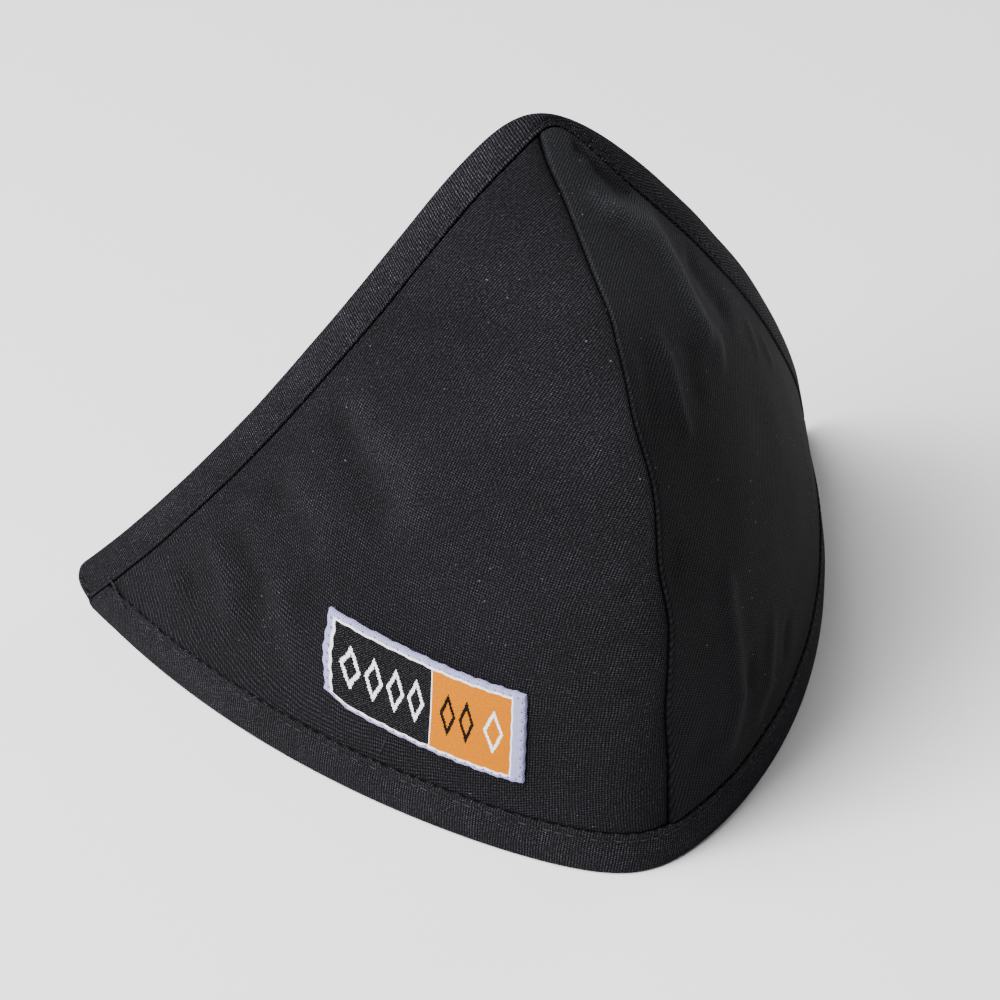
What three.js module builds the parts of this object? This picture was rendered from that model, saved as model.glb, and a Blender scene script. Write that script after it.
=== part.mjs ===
// Cloth mouthpiece of a winter helmet liner. Two cheeks meet in a centre seam from the nose
// point to the chin. A narrow binding is folded over their upper edge, a wider hem over the
// lower one, which it stands on. A label is sewn to the left cheek, and a plain pad for the
// fastener inside each tip.
//
// Millimetres, +Z up. The seam faces -Y and the open back +Y.
// The origin is on the floor under the middle of the bounding box.
//
// A place on the cloth is given by its station and its distance up from the lower edge.
// The station is -1 at the left tip, 0 at the seam and 1 at the right tip.
// Heights over the cloth are measured from the cheek's outer face.

import * as THREE from 'three';

// Driving dimensions
const CLOTH = 2.2; // cheek wall: outer twill and lining
const THIN = 1.0; // the same wall where a binding covers it
const GAP = 0.3; // room between neighbouring pieces
const LAID_GAP = 0.5; // under the label and the pads, which lie on curved cloth
const STRIP = 0.9; // one leg of a binding
const PROUD = 0.5; // height of a binding over the cheek
const FOLDED = THIN + 2 * (GAP + STRIP); // a binding's whole thickness
const INSET = STRIP + GAP; // cheek edge inside its binding
const CLEAR = 0.2; // cheek stays thin for this much beyond a binding
const BINDING_WIDTH = 7.6;
const BINDING_NARROWING = 2.4; // narrower over the nose point
const BINDING_NARROW_SPAN = 0.15; // in stations
const HEM_WIDTH = 10.3;
const HEM_RUNS_OUT = 2.2; // width at which the hem ends, close to a tip
const TIP_HEIGHT = 8.6;
const TIP_RADIUS = 2.5;
const TIP_SHORTENING = 0.25; // part of the tip's height lost at either corner
const TIP_SPEED = 400; // millimetres per station close to a tip
const GROOVE = 0.6; // depth of the seam's groove
const FOLD_FADE = 5; // folds rise over this distance from a binding

const LABEL = { length: 45.2, height: 21.8, thickness: 0.7, station: -0.5805, up: 32.0, tilt: -0.048 };
const PAD = { thickness: 1.8, from: 0.78, to: 0.94, low: 15, high: 50, below: 12.5 };

// How finely the cloth is divided
const STATIONS = 26; // on each cheek
const BODY_ROWS = 14; // up each cheek, between its bindings
const LABEL_STEPS = { along: 14, up: 6 };
const PAD_ROWS = 8;
const SEAM_STEPS = 96;
const EDGE_STEPS = 8; // of those, taken for a direction at an edge
const STEP = 1e-4; // in stations, for a direction on one side
const WIDE_STEP = 0.05; // in stations, for a direction across the seam

// The lines run along the outer faces of the two bindings.
// Control points of the lower edge on the floor, y back from the chin:
const HEM_LINE = [
  { x: -87.2, y: 127.5 },
  { x: -66.9, y: 37.0 },
  { x: -20.4, y: 1.8 },
  { x: -1.0, y: -6.8 },
  { x: -8.7, y: -4.4 },
  { x: -5.2, y: -5.6 },
  { x: 25.3, y: -1.6 },
  { x: 66.7, y: 34.2 },
  { x: 86.3, y: 127.7 },
];
const SEAM_AT_HEM = 0.556; // where the seam meets that line

// Control points of the upper edge, over the nose point:
const TOP_LINE = [
  { x: -88.0, y: 131.0, z: TIP_HEIGHT },
  { x: -54.0, y: 64.7, z: 87.6 },
  { x: -24.4, y: 62.2, z: 136.3 },
  { x: -2.1, y: 74.7, z: 151.1 },
  { x: 0.2, y: 79.5, z: 149.8 },
  { x: 1.2, y: 72.6, z: 146.9 },
  { x: 23.7, y: 60.3, z: 133.8 },
  { x: 57.2, y: 67.2, z: 91.4 },
  { x: 87.1, y: 131.2, z: TIP_HEIGHT },
];

// Control points of the seam, chin to nose point. Its ends lie on the two lines above:
const SEAM_LINE = [
  { x: 2.5, y: 0.0, z: 0.0 },
  { x: 1.9, y: -0.3, z: 51.4 },
  { x: 1.1, y: -10.1, z: 93.1 },
  { x: 0.4, y: 15.3, z: 121.0 },
  { x: -0.1, y: 57.6, z: 130.8 },
  { x: -0.1, y: 72.5, z: 141.4 },
];

// Soft folds of the cloth. Each runs straight between two places on one cheek:
// its half width, and its height above the plain form, negative for a valley.
const FOLDS = [
  { station: 0.13, up: 152, toStation: 0.232, toUp: 142, width: 4.0, height: 0.9 },
  { station: 0.232, up: 142, toStation: 0.397, toUp: 130, width: 4.5, height: 1.0 },
  { station: 0.397, up: 130, toStation: 0.435, toUp: 113, width: 4.5, height: 1.1 },
  { station: 0.435, up: 113, toStation: 0.607, toUp: 76, width: 4.5, height: 1.2 },
  { station: 0.5, up: 118, toStation: 0.575, toUp: 92, width: 4.0, height: -0.9 },
  { station: 0.12, up: 118, toStation: 0.242, toUp: 93, width: 6.0, height: 0.7 },
  { station: 0.315, up: 63, toStation: 0.335, toUp: 22, width: 6.0, height: 0.8 },
  { station: 0.4, up: 62, toStation: 0.42, toUp: 24, width: 5.5, height: -0.7 },
  { station: 0.49, up: 48, toStation: 0.49, toUp: 24, width: 6.0, height: 0.7 },
  { station: 0.728, up: 42, toStation: 0.71, toUp: 22, width: 6.0, height: 0.6 },
  { station: -0.812, up: 44, toStation: -0.782, toUp: 24, width: 4.5, height: -0.8 },
  { station: -0.74, up: 68, toStation: -0.758, toUp: 31, width: 5.0, height: 0.8 },
  { station: -0.655, up: 88, toStation: -0.597, toUp: 71, width: 6.0, height: 0.6 },
];

// Lines and the plain form

function clamp01(value) {
  return Math.min(1, Math.max(0, value));
}

// Point of a Bezier curve, by dividing the control polygon's legs at t
function bezier(rows, t) {
  let points = rows.map(({ x, y, z = 0 }) => new THREE.Vector3(x, y, z));
  while (points.length > 1) {
    points = points.slice(1).map((point, i) => points[i].clone().lerp(point, t));
  }
  return points[0];
}

function hemPoint(station) {
  const side = station < 0 ? SEAM_AT_HEM : 1 - SEAM_AT_HEM;
  return bezier(HEM_LINE, SEAM_AT_HEM + side * station);
}

function topPoint(station) {
  return bezier(TOP_LINE, 0.5 + 0.5 * station);
}

// How far the seam stands in front of the straight line between its ends
const BULGE = Array.from({ length: SEAM_STEPS + 1 }, (_, i) => {
  const t = i / SEAM_STEPS;
  const chord = bezier([SEAM_LINE.at(0), SEAM_LINE.at(-1)], t);
  return bezier(SEAM_LINE, t).sub(chord);
});

// Points up the cloth at one station: a straight line between the two edges, with the
// seam's bulge, which fades to nothing at the tip. Close to the tip the line gets shorter,
// which rounds the tip's corners.
function line(station) {
  const foot = hemPoint(station);
  const head = topPoint(station);
  const fromTip = clamp01(((1 - Math.abs(station)) * TIP_SPEED) / TIP_RADIUS);
  const shorter = TIP_SHORTENING * (1 - Math.sqrt(1 - (1 - fromTip) ** 2));
  const low = foot.clone().lerp(head, shorter);
  const high = head.clone().lerp(foot, shorter);
  const fade = 1 - Math.abs(station);
  return BULGE.map((bulge, i) => {
    return low.clone().lerp(high, i / SEAM_STEPS).addScaledVector(bulge, fade);
  });
}

function sineBetween(a, b) {
  return a.clone().cross(b).length() / (a.length() * b.length());
}

// A column is that line with its lengths, its normals and the reach of both bindings.
// The mean normal is taken over a wide step, which turns it gently across the seam's ridge.
// The binding and the hem keep their width square to their own edge.
const columns = new Map();

function column(station) {
  if (columns.has(station)) {
    return columns.get(station);
  }
  const points = line(station);
  const before = line(Math.max(-1, station - WIDE_STEP));
  const after = line(Math.min(1, station + WIDE_STEP));
  const towardsTip = station < 0 ? -STEP : STEP;
  const beside = line(station + (Math.abs(station) < 0.5 ? towardsTip : -towardsTip));
  const lengths = [0];
  points.slice(1).forEach((point, i) => lengths.push(lengths[i] + point.distanceTo(points[i])));
  const height = lengths.at(-1);

  const rows = points.map((point, i) => {
    const up = points[Math.min(i + 1, SEAM_STEPS)].clone().sub(points[Math.max(i - 1, 0)]);
    const across = after[i].clone().sub(before[i]);
    const onSide = beside[i].clone().sub(point);
    if (onSide.dot(across) < 0) {
      onSide.negate();
    }
    return { point, mean: across.cross(up).normalize(), normal: onSide.cross(up).normalize() };
  });

  const headEdge = after.at(-1).clone().sub(before.at(-1));
  const footEdge = after[0].clone().sub(before[0]);
  const headUp = points.at(-1).clone().sub(points.at(-1 - EDGE_STEPS));
  const footUp = points[EDGE_STEPS].clone().sub(points[0]);
  const narrowing = BINDING_NARROWING * Math.exp(-((station / BINDING_NARROW_SPAN) ** 2));
  const binding = Math.min(height, (BINDING_WIDTH - narrowing) / sineBetween(headEdge, headUp));
  const hem = Math.min(HEM_WIDTH / sineBetween(footEdge, footUp), height - binding - GAP);
  const made = { station, lengths, height, rows, binding, hem };
  columns.set(station, made);
  return made;
}

// Place on the plain form, with the direction that its thickness is measured in. At the
// lower edge that direction is level, so that the hem's underside is flat, and at the seam
// both cheeks share one.
function plainPlace(station, up) {
  const { lengths, rows } = column(station);
  let i = lengths.findIndex((length) => length > up);
  i = i < 0 ? SEAM_STEPS : Math.max(i, 1);
  const part = (up - lengths[i - 1]) / (lengths[i] - lengths[i - 1]);
  const blend = (key) => rows[i - 1][key].clone().lerp(rows[i][key], part);
  const normal = blend('normal').normalize();
  const mean = blend('mean').normalize();
  const level = new THREE.Vector3(mean.x, mean.y, 0).normalize();
  const direction = mean.lerp(level, clamp01(1 - up / HEM_WIDTH)).normalize();
  direction.divideScalar(direction.dot(normal));
  return { point: blend('point'), direction };
}

// Folds

const foldEnds = FOLDS.map(({ station, up, toStation, toUp, width, height }) => ({
  line: new THREE.Line3(plainPlace(station, up).point, plainPlace(toStation, toUp).point),
  width,
  height,
}));

// The highest ridge and the deepest valley there, both ironed flat under the bindings
function foldHeight(point, station, up) {
  const { height, binding, hem } = column(station);
  const fromHem = THREE.MathUtils.smoothstep(up, hem, hem + FOLD_FADE);
  const fromBinding = THREE.MathUtils.smoothstep(height - up, binding, binding + FOLD_FADE);
  const nearest = new THREE.Vector3();
  const heights = foldEnds.map((fold) => {
    fold.line.closestPointToPoint(point, true, nearest);
    return fold.height * Math.exp(-((nearest.distanceTo(point) / fold.width) ** 2));
  });
  return (Math.max(...heights, 0) + Math.min(...heights, 0)) * fromHem * fromBinding;
}

// Point at a height over the cheek's outer face, negative below it
function place(station, up, over) {
  const { point, direction } = plainPlace(station, up);
  const height = foldHeight(point, station, up) - PROUD + over;
  return point.clone().addScaledVector(direction, height);
}

// Bodies

// Closed body through rings of equal length. A ring runs along its piece's outer face and
// back along the inner one, point for point, so a ladder of triangles closes either end.
function bodyThroughRings(rings) {
  const count = rings[0].length;
  const lastRing = (rings.length - 1) * count;
  const faces = [];
  for (let here = 0; here < lastRing; here += count) {
    const there = here + count;
    for (let i = 0; i < count; i += 1) {
      const next = (i + 1) % count;
      faces.push([here + i, there + i, there + next]);
      faces.push([here + i, there + next, here + next]);
    }
  }
  for (let i = 0; i + 1 < count / 2; i += 1) {
    const across = count - 1 - i;
    faces.push([i, i + 1, across - 1], [i, across - 1, across]);
    faces.push([lastRing + i, lastRing + across - 1, lastRing + i + 1]);
    faces.push([lastRing + i, lastRing + across, lastRing + across - 1]);
  }

  const geometry = new THREE.BufferGeometry();
  const coordinates = rings.flat().flatMap((point) => point.toArray());
  geometry.setAttribute('position', new THREE.Float32BufferAttribute(coordinates, 3));
  geometry.setIndex(faces.flat());
  geometry.computeVertexNormals();
  return geometry;
}

// Body whose rings each stand at one station
function bodyAlongStations(stations, profileAt, shift = () => 0) {
  const rings = stations.map((station) => {
    const move = shift(station);
    return profileAt(station).map(({ up, over }) => {
      const point = place(station, up, over);
      point.x += move;
      return point;
    });
  });
  return bodyThroughRings(rings);
}

// Stations from the seam to a tip, shared by all pieces and closer together at both ends
const SEAM_ROLL = 0.012; // where the cheek has rolled up out of the seam's groove
const CHEEK_END = 0.9965;
const BINDING_END = 0.9985;
const EVEN_STEPS = Array.from({ length: STATIONS }, (_, i) => i / STATIONS);
const SPREAD = EVEN_STEPS.map((x) => 0.75 * x + 1.3 * x ** 2 - 1.05 * x ** 3);
const TO_TIP = [0, SEAM_ROLL, ...SPREAD.slice(1), CHEEK_END];

function mirrored(stations) {
  return stations.map((station) => -station).reverse();
}

// Cheeks

// Thin where a binding covers it, and at full thickness between the bindings
function cheekProfile(station) {
  const { height, binding, hem } = column(station);
  const low = Math.max(hem + CLEAR, INSET + CLEAR);
  const high = Math.max(height - binding - CLEAR, low + 2 * GAP);
  const swell = THREE.MathUtils.smoothstep(high - low, 2 * GAP, HEM_RUNS_OUT);
  const step = Math.min(GAP, (high - low) / 4);
  const groove = station === 0 ? GROOVE : 0;
  const thin = PROUD - STRIP - GAP;
  const thinInner = thin - THIN;
  const outerFace = THREE.MathUtils.lerp(thin, -groove, swell);
  const innerFace = THREE.MathUtils.lerp(thinInner, -CLOTH, swell);

  const outside = [
    { up: INSET, over: thin },
    { up: low, over: thin },
  ];
  const inside = [
    { up: INSET, over: thinInner },
    { up: low, over: thinInner },
  ];
  for (let row = 0; row <= BODY_ROWS; row += 1) {
    const up = THREE.MathUtils.lerp(low + step, high - step, row / BODY_ROWS);
    outside.push({ up, over: outerFace });
    inside.push({ up, over: innerFace });
  }
  outside.push({ up: high, over: thin }, { up: height - INSET, over: thin });
  inside.push({ up: high, over: thinInner }, { up: height - INSET, over: thinInner });
  return [...outside, ...inside.reverse()];
}

function cheek(side) {
  const shift = (station) => (station === 0 ? (side * GAP) / 2 : 0);
  const stations = side < 0 ? [...mirrored(TO_TIP.slice(1)), 0] : TO_TIP;
  return bodyAlongStations(stations, cheekProfile, shift);
}

// Binding and hem

// One path round a fold, up to its edge on the outer side and back on the inner one.
// reach turns a distance from the folded edge into a distance up the cloth.
function foldPath(width, reach, edge, outer, inner, bend) {
  const onOuter = bend.map((corner) => ({ up: reach(edge + corner.from), over: outer - corner.in }));
  const onInner = bend.map((corner) => ({ up: reach(edge + corner.from), over: inner + corner.in }));
  const start = { up: reach(width), over: outer };
  const end = { up: reach(width), over: inner };
  return [start, ...onOuter, ...onInner.reverse(), end];
}

const OUTER_BEND = [
  { from: 0.7, in: 0 },
  { from: 0.2, in: 0.2 },
  { from: 0, in: 0.6 },
];
const INNER_BEND = OUTER_BEND.map((corner) => ({ from: corner.from / 3, in: corner.in / 3 }));

// Section of a strip folded over an edge, with a leg on each side of the cheek
function foldedStrip(width, reach) {
  const inner = PROUD - FOLDED;
  const outside = foldPath(width, reach, 0, PROUD, inner, OUTER_BEND);
  const inside = foldPath(width, reach, STRIP, PROUD - STRIP, inner + STRIP, INNER_BEND);
  return [...outside, ...inside.reverse()];
}

function topBinding() {
  const side = [...TO_TIP.slice(1), BINDING_END];
  return bodyAlongStations([...mirrored(side), 0, ...side], (station) => {
    const { height, binding } = column(station);
    return foldedStrip(binding, (distance) => height - distance);
  });
}

// The hem runs out under the binding just before each tip
function hemBinding() {
  const all = [...mirrored(TO_TIP.slice(1)), ...TO_TIP];
  const stations = all.filter((station) => column(station).hem > HEM_RUNS_OUT);
  return bodyAlongStations(stations, (station) => {
    return foldedStrip(column(station).hem, (distance) => distance).reverse();
  });
}

// Label and pads

// Evenly spaced values from first to last
function evenly(first, last, steps) {
  return Array.from({ length: steps + 1 }, (_, i) => first + (last - first) * (i / steps));
}

// Flat strip bent to the cheek. It is laid out in millimetres along and up from its middle,
// and the cloth's own directions there turn those into stations and distances up.
function label() {
  const { length, height, thickness, station, up, tilt } = LABEL;
  const here = plainPlace(station, up).point;
  const perStation = plainPlace(station + WIDE_STEP, up).point.sub(here).divideScalar(WIDE_STEP);
  const perUp = plainPlace(station, up + 1).point.sub(here);
  const slant = perUp.dot(perStation.clone().normalize());
  const rise = Math.sqrt(perUp.lengthSq() - slant ** 2);
  const laid = (along, above, over) => {
    const ups = (above + tilt * along) / rise;
    const stations = (along - slant * ups) / perStation.length();
    return place(station + stations, up + ups, over);
  };
  const rings = evenly(-length / 2, length / 2, LABEL_STEPS.along).map((along) => {
    const rows = evenly(-height / 2, height / 2, LABEL_STEPS.up);
    const face = rows.map((above) => laid(along, above, LAID_GAP + thickness));
    const back = rows.map((above) => laid(along, above, LAID_GAP));
    return [...face, ...back.reverse()];
  });
  return bodyThroughRings(rings);
}

function fastenerPad(side) {
  const { thickness, from, to, low, high, below } = PAD;
  const face = -CLOTH - LAID_GAP;
  const profile = (station) => {
    const rows = evenly(low, Math.min(high, column(station).height - below), PAD_ROWS);
    const towardsCheek = rows.map((up) => ({ up, over: face }));
    const towardsFace = rows.map((up) => ({ up, over: face - thickness }));
    return [...towardsCheek, ...towardsFace.reverse()];
  };
  const stations = TO_TIP.filter((station) => station > from && station < to);
  return bodyAlongStations(side < 0 ? mirrored(stations) : stations, profile);
}

// Materials

const cloth = (color) => new THREE.MeshStandardMaterial({ color, roughness: 0.92, metalness: 0 });

const MATERIALS = {
  cheek: cloth(0x2e2d32),
  binding: cloth(0x35343a),
  hem: cloth(0x2c2b30),
  label: new THREE.MeshStandardMaterial({ color: 0xd9d3e0, roughness: 0.6, metalness: 0 }),
  pad: cloth(0x1c1c1e),
};

// Assembly

function named(name, geometry, material) {
  const mesh = new THREE.Mesh(geometry, material);
  mesh.name = name;
  return mesh;
}

const mouthpiece = new THREE.Group();
mouthpiece.add(
  named('left_panel', cheek(-1), MATERIALS.cheek),
  named('right_panel', cheek(1), MATERIALS.cheek),
  named('top_binding', topBinding(), MATERIALS.binding),
  named('hem_binding', hemBinding(), MATERIALS.hem),
  named('label', label(), MATERIALS.label),
  named('left_fastener_pad', fastenerPad(-1), MATERIALS.pad),
  named('right_fastener_pad', fastenerPad(1), MATERIALS.pad),
);

const box = new THREE.Box3().setFromObject(mouthpiece);
const middle = box.getCenter(new THREE.Vector3());
mouthpiece.position.set(-middle.x, -middle.y, -box.min.z);

export default mouthpiece;
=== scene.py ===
# %% [markdown]
# # A cloth mouthpiece for a winter helmet liner
# The real piece is cut from dark twill: two cheeks, a centre seam, a narrow binding over the
# nose point and a wider hem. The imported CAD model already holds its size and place, so it is
# loaded first and everything else is built round it, in metres, with no fitting.

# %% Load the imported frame
import math

import bpy
import numpy as np
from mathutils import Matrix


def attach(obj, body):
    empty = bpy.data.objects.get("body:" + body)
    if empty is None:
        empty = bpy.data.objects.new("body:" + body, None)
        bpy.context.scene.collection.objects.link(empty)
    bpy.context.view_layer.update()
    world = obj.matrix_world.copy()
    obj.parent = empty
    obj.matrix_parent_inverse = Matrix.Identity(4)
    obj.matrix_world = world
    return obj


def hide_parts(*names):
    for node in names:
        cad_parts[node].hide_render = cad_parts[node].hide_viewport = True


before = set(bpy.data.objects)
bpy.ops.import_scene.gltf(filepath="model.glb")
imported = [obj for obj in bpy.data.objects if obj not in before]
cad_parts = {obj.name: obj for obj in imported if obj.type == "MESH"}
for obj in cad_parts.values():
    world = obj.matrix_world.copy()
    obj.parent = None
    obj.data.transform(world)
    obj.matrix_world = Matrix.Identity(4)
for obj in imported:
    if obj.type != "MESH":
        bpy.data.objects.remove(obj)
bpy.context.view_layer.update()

print("nodes:", sorted(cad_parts))

# %% [markdown]
# ## The camera
# The photograph was taken from above and to one side, with a long lens. A camera can be aimed
# with a constraint, but a matrix of its three axes says exactly where it looks and how it is
# rolled. The object sits off centre in the photograph, which the lens shift gives without
# turning the camera.

# %% Camera
AIM = np.array([0.00044, -0.00547, 0.065])  # metres
DISTANCE = 0.9
azimuth, elevation, roll = np.radians([-20.4, 35.99, -0.19])

level = np.array([math.cos(azimuth), math.sin(azimuth), 0.0])
forward = np.array([math.sin(azimuth), -math.cos(azimuth), 0.0])
back = math.cos(elevation) * forward + np.array([0.0, 0.0, math.sin(elevation)])
upward = np.cross(back, level)
camera_axes = np.eye(4)
camera_axes[:3, 0] = math.cos(roll) * level + math.sin(roll) * upward
camera_axes[:3, 1] = -math.sin(roll) * level + math.cos(roll) * upward
camera_axes[:3, 2] = back
camera_axes[:3, 3] = AIM + DISTANCE * back


def add_object(name, data):
    """New object in the scene."""
    made = bpy.data.objects.new(name, data)
    bpy.context.scene.collection.objects.link(made)
    return made


camera = add_object("camera", bpy.data.cameras.new("camera"))
camera.matrix_world = camera_axes.T.tolist()
camera.data.sensor_width = 36
camera.data.lens = 155.0
camera.data.shift_x = -0.0571
camera.data.shift_y = -0.0464
camera.data.clip_end = 20
bpy.context.scene.camera = camera
print("camera at", [round(float(x), 3) for x in camera_axes[:3, 3]])

# %% [markdown]
# ## The plain form
# Cloth that is cut and sewn takes its shape from its edges and its seam. So the form is a
# function of two parameters: a station, which is -1 at the left tip, 0 at the seam and 1 at the
# right tip, and a distance up the cloth from the lower edge. Sculpting would also give this
# shape, but a function keeps every strip, stitch and label exactly on the cloth.
# Lengths from here on are millimetres, and the last step of each piece turns them into metres.

# %% Lines of the form
TIP_HEIGHT = 8.6
TO_ORIGIN = np.array([0.43755, -65.47478, 0.0])  # from the lines' own frame to the part's

HEM_LINE = [
    (-87.2, 127.5, 0),
    (-66.9, 37.0, 0),
    (-20.4, 1.8, 0),
    (-1.0, -6.8, 0),
    (-8.7, -4.4, 0),
    (-5.2, -5.6, 0),
    (25.3, -1.6, 0),
    (66.7, 34.2, 0),
    (86.3, 127.7, 0),
]
SEAM_AT_HEM = 0.556

TOP_LINE = [
    (-88.0, 131.0, TIP_HEIGHT),
    (-54.0, 64.7, 87.6),
    (-24.4, 62.2, 136.3),
    (-2.1, 74.7, 151.1),
    (0.2, 79.5, 149.8),
    (1.2, 72.6, 146.9),
    (23.7, 60.3, 133.8),
    (57.2, 67.2, 91.4),
    (87.1, 131.2, TIP_HEIGHT),
]

SEAM_LINE = [
    (2.5, 0.0, 0.0),
    (1.9, -0.3, 51.4),
    (1.1, -10.1, 93.1),
    (0.4, 15.3, 121.0),
    (-0.1, 57.6, 130.8),
    (-0.1, 72.5, 141.4),
]


def bezier(control, t):
    """Points of a Bezier curve: the sum over k of C(n, k) t^k (1 - t)^(n - k) times point k."""
    control = np.asarray(control, float)
    n = len(control) - 1
    k = np.arange(n + 1)
    t = np.asarray(t, float)[..., None]
    weights = np.array([math.comb(n, i) for i in k]) * t**k * (1 - t) ** (n - k)
    return weights @ control


def unit(vectors):
    """Vectors divided by their lengths."""
    return vectors / np.linalg.norm(vectors, axis=-1, keepdims=True)


def mix(a, b, part):
    """Straight line between a and b: a at part 0, b at part 1."""
    return a + (b - a) * part


def smooth(x, low, high):
    """Smooth step: 0 below low, 1 above high, and 3t^2 - 2t^3 between them."""
    t = np.clip((x - low) / (high - low), 0, 1)
    return t * t * (3 - 2 * t)


seam_points = bezier(SEAM_LINE, np.linspace(0, 1, 200))
seam_length = np.linalg.norm(np.diff(seam_points, axis=0), axis=1).sum()
print(f"seam: {seam_length:.1f} mm long")

# %% Columns up the cloth
ROWS = 96  # steps of a column
TIP_RADIUS = 2.5
TIP_SHORTENING = 0.12  # share of the height that is lost at either end of a column
TIP_SPEED = 400.0  # millimetres per station close to a tip
TIP_BULGE = 1.9  # how far the rounded end stands out between its corners
BULGE_ASIDE, BULGE_BACK = 0.6, 0.95  # shares of that to the side and to the back
WANDER_FADE = 0.09  # stations

# where the seam strays from its line: share of the way up, millimetres to the right
WANDER_AT = np.array([0.90, 0.66, 0.53, 0.44, 0.35, 0.275, 0.17])
WANDER_BY = np.array([-0.45, 0.60, -0.60, 0.40, -0.55, 0.65, -0.75])
WANDER_WIDTH = 0.04

row_part = np.linspace(0, 1, ROWS + 1)
seam_bulge = bezier(SEAM_LINE, row_part) - mix(
    np.array(SEAM_LINE[0]), np.array(SEAM_LINE[-1]), row_part[:, None]
)
wander_shares = np.exp(-(((row_part[:, None] - WANDER_AT) / WANDER_WIDTH) ** 2))
seam_wander = (WANDER_BY * wander_shares).sum(axis=1)


def edges(stations):
    """Points of the lower and of the upper edge."""
    side = np.where(stations < 0, SEAM_AT_HEM, 1 - SEAM_AT_HEM)
    return bezier(HEM_LINE, SEAM_AT_HEM + side * stations), bezier(TOP_LINE, 0.5 + 0.5 * stations)


def lines(stations):
    """Points up the cloth at each station: the straight line from hem to top, plus the seam's
    bulge times (1 - |station|), and its wander times exp(-(station / fade)^2). Close to a tip
    the line is shortened along a quarter circle and pushed out by bulge x sin(pi part)."""
    foot, head = (edge[:, None] for edge in edges(stations))
    from_tip = np.clip((1 - np.abs(stations)) * TIP_SPEED / TIP_RADIUS, 0, 1)
    shorter = TIP_SHORTENING * (1 - np.sqrt(1 - (1 - from_tip) ** 2))[:, None, None]
    low = mix(foot, head, shorter)
    high = mix(head, foot, shorter)
    fade = (1 - np.abs(stations))[:, None, None]
    strays = np.exp(-((stations / WANDER_FADE) ** 2))[:, None] * seam_wander
    stands_out = (1 - from_tip)[:, None] * TIP_BULGE * np.sin(np.pi * row_part)
    points = mix(low, high, row_part[None, :, None]) + seam_bulge[None] * fade
    points[:, :, 0] += strays
    points[:, :, 1] += stands_out * BULGE_BACK
    points[:, :, 0] += stands_out * BULGE_ASIDE * np.sign(stations)[:, None]
    return points


probe = lines(np.array([-1.0, -0.5, 0.0, 0.5, 1.0]))
probe_heights = np.linalg.norm(np.diff(probe, axis=1), axis=2).sum(axis=1)
print("heights along the cloth in mm:", probe_heights.round(1).tolist())

# %% Directions and reaches
BINDING_WIDTH = 7.6
BINDING_NARROWING = 4.9  # over the nose point, where the strip rolls inwards
BINDING_NARROW_AT, BINDING_NARROW_SPAN = 0.1, 0.15  # stations
HEM_WIDTH = 10.3
HEM_STARTS = 1.1  # reach at which the hem comes out from under the binding
GAP = 0.3
STEP, WIDE_STEP = 1e-4, 0.05  # stations
EDGE_STEPS = 8
COLUMN_APART = 10.0  # per row: sets the lengths of the columns apart from each other
LEAST_SLANT = 0.75  # keeps the thickness in bounds at the very tip


def sine_between(a, b):
    """|a x b| / (|a| |b|)."""
    return np.linalg.norm(np.cross(a, b), axis=-1) / (
        np.linalg.norm(a, axis=-1) * np.linalg.norm(b, axis=-1)
    )


def binding_width(stations):
    """7.6 mm, less 4.9 exp(-((station - 0.1) / 0.15)^2) over the nose point."""
    narrow = np.exp(-(((stations - BINDING_NARROW_AT) / BINDING_NARROW_SPAN) ** 2))
    return BINDING_WIDTH - BINDING_NARROWING * narrow


def columns_at(stations):
    """Columns with their lengths, their normals and how far binding and hem reach along them.
    The mean normal is (after - before) x up over a wide step, which turns it gently at the
    seam's ridge. A strip of width w reaches w / sine of the angle between edge and column."""
    stations = np.asarray(stations, float)
    points = lines(stations)
    before = lines(np.maximum(-1, stations - WIDE_STEP))
    after = lines(np.minimum(1, stations + WIDE_STEP))
    to_tip = np.where(stations < 0, -STEP, STEP)
    on_side = lines(stations + np.where(np.abs(stations) < 0.5, to_tip, -to_tip)) - points
    across = after - before
    on_side = np.where((on_side * across).sum(axis=2, keepdims=True) < 0, -on_side, on_side)
    index = np.arange(ROWS + 1)
    up = points[:, np.minimum(index + 1, ROWS)] - points[:, np.maximum(index - 1, 0)]

    steps = np.linalg.norm(np.diff(points, axis=1), axis=2)
    lengths = np.concatenate([np.zeros((len(stations), 1)), np.cumsum(steps, axis=1)], axis=1)
    height = lengths[:, -1]
    head_sine = sine_between(across[:, -1], points[:, -1] - points[:, -1 - EDGE_STEPS])
    foot_sine = sine_between(across[:, 0], points[:, EDGE_STEPS] - points[:, 0])
    binding = np.minimum(height, binding_width(stations) / head_sine)
    binding = np.where(height - binding < HEM_STARTS + GAP, height, binding)
    hem = np.minimum(HEM_WIDTH / foot_sine, height - binding - GAP)
    return {
        "stations": stations,
        "points": points,
        "mean": unit(np.cross(across, up)),
        "normal": unit(np.cross(on_side, up)),
        "lengths": lengths,
        "height": height[:, None],
        "binding": binding[:, None],
        "hem": hem[:, None],
    }


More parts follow.
